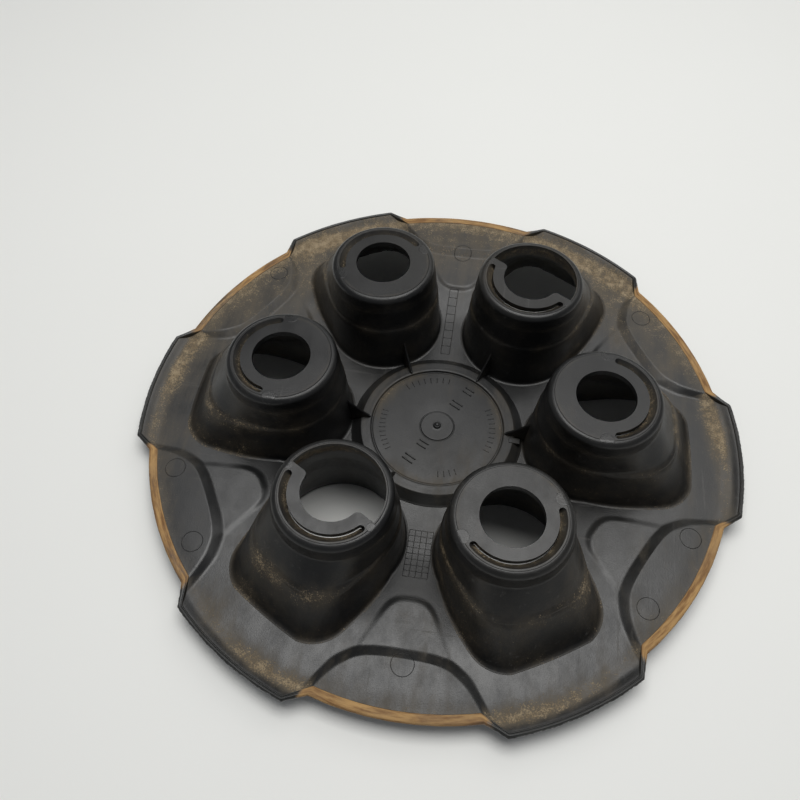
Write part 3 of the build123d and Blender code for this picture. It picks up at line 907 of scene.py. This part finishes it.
def make_block():
    """Small moulded block on the disc's sloped wall."""
    x0, x1, y0, y1, z0, z1 = 41.4, 48.4, -5.2, -1.7, 2.4, 7.55
    verts = [(x, y, z) for z in (z0, z1) for x, y in ((x0, y0), (x1, y0), (x1, y1), (x0, y1))]
    verts[5], verts[6] = (x1 - 0.6, y0, z1 - 0.5), (x1 - 0.6, y1, z1 - 0.5)
    faces = [(3, 2, 1, 0), (4, 5, 6, 7)] + [(i, (i + 1) % 4, 4 + (i + 1) % 4, 4 + i) for i in range(4)]
    block = to_object("disc_block", verts, faces, disc_mat, marks={"dust": np.full(8, 0.1)})
    bevel = block.modifiers.new("edge", "BEVEL")
    bevel.width, bevel.segments, bevel.harden_normals = 0.4 * MM, 3, True


make_block()


# ------------------------------------------------------------------ gussets
def make_gusset(k, angle):
    """Thin rib from the disc's ring to the socket wall, wider at its root."""
    outer_r = STUD_R - 33.2
    tip = 38.7
    verts, dust = [], []
    n_len, n_up = 14, 7
    for i in range(n_len):
        s = i / (n_len - 1)
        r = tip + (outer_r + 1.2 - tip) * s
        base = np.interp(r, [FACE_R, STEP_R, FOOT_R, 56],
                         [STEP_H - 0.3, STEP_H - 0.3, FOOT_H - 0.2, FOOT_H - 0.2])
        crown = 8.3 + (23.6 - 8.3) * s ** 1.15
        for j in range(n_up * 2):
            side = 1 if j < n_up else -1
            q = j if j < n_up else 2 * n_up - 1 - j
            t = q / (n_up - 1)
            z = base + (crown - base) * (1 - (1 - t) ** 1.3)
            w = 0.62 + 0.35 * (1 - t) ** 3
            if q == n_up - 1:
                w *= 0.35
            if i == 0:
                w *= 0.45
            verts.append((r, side * w, z))
            dust.append(0.1 + 0.3 * (1 - t))
    verts = np.array(verts)
    c, s = math.cos(math.radians(angle)), math.sin(math.radians(angle))
    turned = np.c_[c * verts[:, 0] - s * verts[:, 1], s * verts[:, 0] + c * verts[:, 1], verts[:, 2]]
    faces = [list(f) for f in grid_faces(n_len, n_up * 2)]
    faces += [list(range(n_up * 2)), [(n_len - 1) * n_up * 2 + j for j in reversed(range(n_up * 2))]]
    to_object(f"gusset_{k}_rib", turned, faces, socket_mat, f"gusset_{k}", marks={"dust": dust})


for k, angle in SOCKET_ANGLE.items():
    make_gusset(k, angle)


# ------------------------------------------------------------------ moulded marks without any lettering
class Relief:
    """Low rounded ridges that follow a surface, collected into one piece."""

    def __init__(self, surface):
        self.surface, self.verts, self.faces = surface, [], []

    def ridge(self, points, width, rise, closed=False):
        p = np.asarray(points, float)
        fwd = (np.roll(p, -1, 0) - np.roll(p, 1, 0)) if closed else np.gradient(p, axis=0)
        side = np.c_[-fwd[:, 1], fwd[:, 0]]
        side /= np.maximum(np.linalg.norm(side, axis=1, keepdims=True), 1e-9)
        section = [(-1.0, -0.10), (-0.62, 0.62), (-0.25, 1.0), (0.25, 1.0), (0.62, 0.62), (1.0, -0.10)]
        start, m = len(self.verts), len(section)
        for q, s in zip(p, side):
            for across, up in section:
                x, y = q + s * across * width / 2
                self.verts.append((x, y, float(self.surface(x, y)) + rise * up))
        faces = grid_faces(len(p), m, closed=False, start=start)[:, ::-1]
        self.faces += faces.tolist()
        last = start + (len(p) - 1) * m
        if closed:
            self.faces += [[start + i + 1, start + i, last + i, last + i + 1] for i in range(m - 1)]
        else:
            self.faces += [[start + i for i in range(m)], [last + i for i in reversed(range(m))]]

    def line(self, a, b, width, rise, n=None):
        n = n or max(2, int(math.dist(a, b) / 1.2))
        t = np.linspace(0, 1, n)[:, None]
        self.ridge((1 - t) * np.array(a) + t * np.array(b), width, rise)

    def circle(self, x, y, r, width, rise, n=48):
        t = np.linspace(0, TAU, n, endpoint=False)
        self.ridge(np.c_[x + r * np.cos(t), y + r * np.sin(t)], width, rise, closed=True)

    def done(self, name, material):
        dust = np.full(len(self.verts), 0.12)
        to_object(name, self.verts, self.faces, material, marks={"dust": dust})


def floor_at(x, y):
    return height(np.array([x]), np.array([y]))[0]


def face_at(x, y):
    return FACE_H


disc_marks = Relief(face_at)


def bar_row(radius, middle, count, pitch, tall):
    """A row of plain upright bars on an arc, where a maker would put characters."""
    for i in range(count):
        a = math.radians(middle + (i - (count - 1) / 2) * pitch)
        ends = [(r * math.cos(a), r * math.sin(a)) for r in (radius - tall / 2, radius + tall / 2)]
        disc_marks.line(*ends, 0.5, 0.22, 4)


bar_row(31.8, 107, 8, 6.6, 3.4)
bar_row(31.6, 192, 10, 5.2, 3.4)
bar_row(31.8, 3, 10, 5.6, 3.4)
bar_row(31.0, -73, 4, 6.0, 3.6)
for radius, direction, long in ((26.5, -119.5, 7.0), (14.5, -117, 6.0), (18.5, 60, 7.0), (30.5, 59.5, 6.0)):
    a = math.radians(direction)
    cx, cy = radius * math.cos(a), radius * math.sin(a)
    for shift in (-1.5, 1.5):
        mx, my = cx + shift * math.cos(a), cy + shift * math.sin(a)
        ex, ey = -math.sin(a) * long / 2, math.cos(a) * long / 2
        disc_marks.line((mx - ex, my - ey), (mx + ex, my + ey), 1.1, 0.55, 8)
disc_marks.done("disc_marks", mark_mat)

floor_marks = Relief(floor_at)
LADDER_X, LADDER_W, LADDER_Y, LADDER_STEP = -1.8, 5.4, 54.5, 6.0
for side in (-1, 1):
    x = LADDER_X + side * LADDER_W / 2
    floor_marks.line((x, LADDER_Y), (x, LADDER_Y + 8 * LADDER_STEP), 0.42, 0.2)
for i in range(9):
    y = LADDER_Y + i * LADDER_STEP
    floor_marks.line((LADDER_X - LADDER_W / 2, y), (LADDER_X + LADDER_W / 2, y), 0.42, 0.2, 5)
GRID_HALF, GRID_LOW, GRID_HIGH, GRID_STEP = 6.4, -91, -64, 3.37
for i in range(5):
    x = -GRID_HALF + i * GRID_HALF / 2
    floor_marks.line((x, GRID_LOW), (x, GRID_HIGH), 0.4, 0.18)
for i in range(9):
    y = GRID_LOW + i * GRID_STEP
    floor_marks.line((-GRID_HALF, y), (GRID_HALF, y), 0.4, 0.18, 8)
for x, y, r in ((138.2, -51.5, 5.5), (115.6, -92.0, 5.5), (0.5, -136.5, 5.6), (-115.4, 94.9, 5.5),
                (0.5, 131.0, 5.5), (-116.0, -92.0, 5.5), (-137.8, -52.0, 5.5), (115.6, 92.0, 5.5)):
    floor_marks.circle(x, y, r, 0.42, 0.2)
floor_marks.done("floor_marks", mark_mat)


# ------------------------------------------------------------------ stage, lights and camera
def make_stage():
    mesh = bpy.data.meshes.new("table")
    size, back, bend, wall = 3.0, 1.6, 0.5, 1.6
    rows = []
    n = 16
    turns = [t * math.pi / 2 / n for t in range(n + 1)]
    pts = [(-size, 0.0)] + [(back + bend * math.sin(a), bend - bend * math.cos(a)) for a in turns]
    pts += [(back + bend, bend + wall)]
    for y, z in pts:
        rows += [(-size, y, z), (size, y, z)]
    faces = [(2 * i, 2 * i + 1, 2 * i + 3, 2 * i + 2) for i in range(len(pts) - 1)]
    mesh.from_pydata(rows, [], faces)
    mesh.polygons.foreach_set("use_smooth", [True] * len(mesh.polygons))
    table = bpy.data.objects.new("table", mesh)
    bpy.context.scene.collection.objects.link(table)
    mat, nt, shader = new_material("table_white")
    g = Graph(nt)
    shader.inputs["Roughness"].default_value = 0.6
    g.link(g.mix(g.noise(3.0, 3), (0.815, 0.82, 0.795), (0.845, 0.85, 0.825)), shader.inputs["Base Color"])
    table.data.materials.append(mat)


make_stage()


def area_light(name, place_m, aim, size, size_y, power, colour=(1, 1, 1)):
    light = bpy.data.lights.new(name, "AREA")
    light.shape, light.size, light.size_y = "RECTANGLE", size, size_y
    light.energy, light.color = power, colour
    obj = bpy.data.objects.new(name, light)
    bpy.context.scene.collection.objects.link(obj)
    obj.location = place_m
    obj.rotation_euler = (Vector(aim) - Vector(place_m)).to_track_quat("-Z", "Y").to_euler()


area_light("top_soft", (0.02, 0.20, 1.35), (0, 0.0, 0), 1.15, 0.80, 14.5, (1.0, 0.995, 0.98))
area_light("back_soft", (0.42, 1.10, 1.15), (0, 0, 0), 1.5, 0.9, 4.4, (1.0, 0.99, 0.97))

world = bpy.data.worlds.new("room")
bpy.context.scene.world = world
world.use_nodes = True
world.node_tree.nodes["Background"].inputs["Color"].default_value = (0.93, 0.95, 1.0, 1)
world.node_tree.nodes["Background"].inputs["Strength"].default_value = 0.20

CAMERA_AT = Vector((13.056, -222.041, 378.944)) * MM
CAMERA_AIM = Vector((-22.447, 5.683, 20.0)) * MM
CAMERA_ROLL = math.radians(0.168)
camera_data = bpy.data.cameras.new("camera")
camera_data.sensor_width = 36.0
camera_data.lens = 33.82
camera = bpy.data.objects.new("camera", camera_data)
bpy.context.scene.collection.objects.link(camera)
look = (CAMERA_AIM - CAMERA_AT).to_track_quat("-Z", "Y").to_matrix()
camera.matrix_world = Matrix.Translation(CAMERA_AT) @ (look @ Matrix.Rotation(-CAMERA_ROLL, 3, "Z")).to_4x4()
bpy.context.scene.camera = camera
bpy.context.scene.view_settings.view_transform = "Standard"
